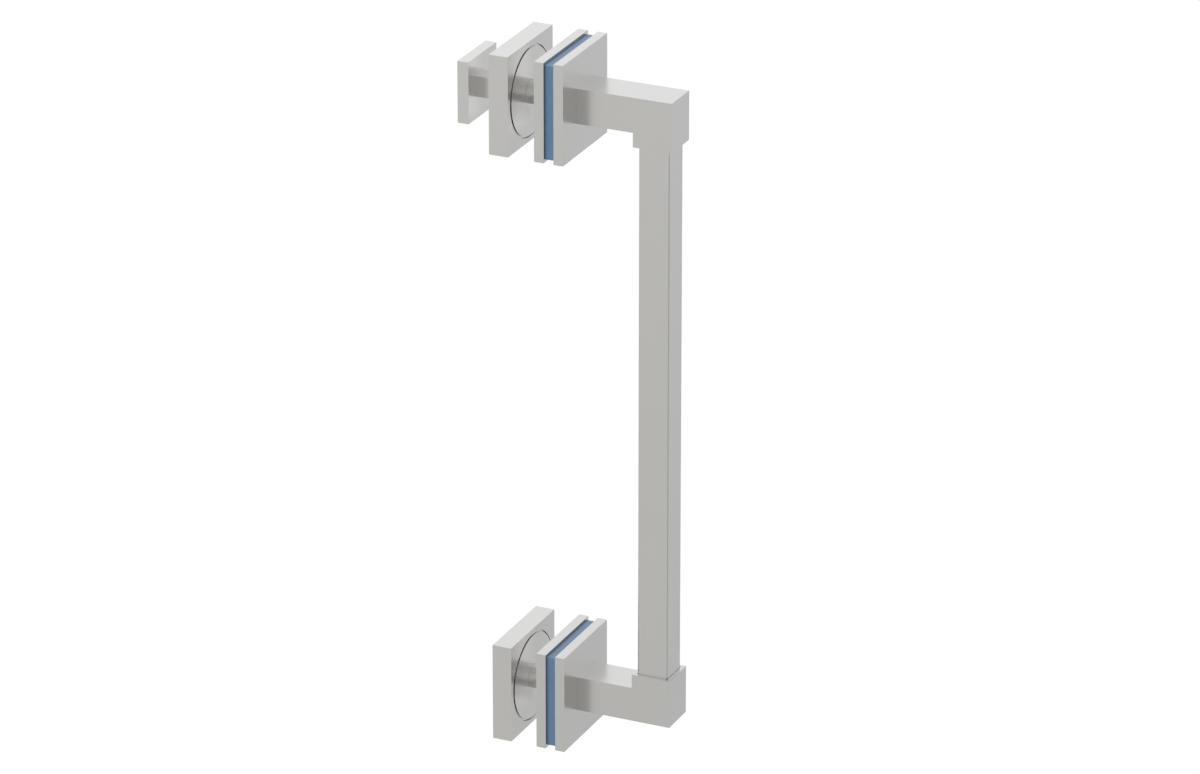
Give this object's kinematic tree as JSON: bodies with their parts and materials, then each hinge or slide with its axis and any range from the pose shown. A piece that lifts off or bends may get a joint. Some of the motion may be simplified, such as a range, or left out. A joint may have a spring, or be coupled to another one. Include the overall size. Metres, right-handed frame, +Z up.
{
  "type": "shower door handle",
  "caption": "Square-section pull handle for a glass shower door: a grip bar on elbow arms outside, plates that clamp the glass, and square blocks on posts inside, with a small knob at the top.",
  "frame": {"origin": "on the glass's middle plane, half-way between the clamp axes", "axes": "+X out of the shower towards the grip bar, +Y across the handle, +Z up along the bar"},
  "size_m": [0.1082, 0.05, 0.3548],
  "materials": {
    "satin_metal": "satin",
    "screw_steel": "plain",
    "blue_gasket": "smooth blue pad",
    "clear_nylon": "natural nylon"
  },
  "bodies": {
    "root": {"grip_bar": "satin_metal", "upper_elbow": "satin_metal", "lower_elbow": "satin_metal", "upper_outer_plate": "satin_metal", "lower_outer_plate": "satin_metal", "upper_inner_plate": "satin_metal", "lower_inner_plate": "satin_metal", "upper_post": "satin_metal", "lower_post": "satin_metal", "upper_hub_disc": "satin_metal", "lower_hub_disc": "satin_metal", "upper_block": "satin_metal", "lower_block": "satin_metal", "knob": "satin_metal", "upper_through_stud": "screw_steel", "lower_through_stud": "screw_steel", "upper_block_screw": "screw_steel", "lower_block_screw": "screw_steel", "upper_bar_screw": "screw_steel", "lower_bar_screw": "screw_steel", "knob_screw": "screw_steel", "upper_gasket": "blue_gasket", "lower_gasket": "blue_gasket", "upper_glass_sleeve": "clear_nylon", "lower_glass_sleeve": "clear_nylon"}
  },
  "joints": []
}
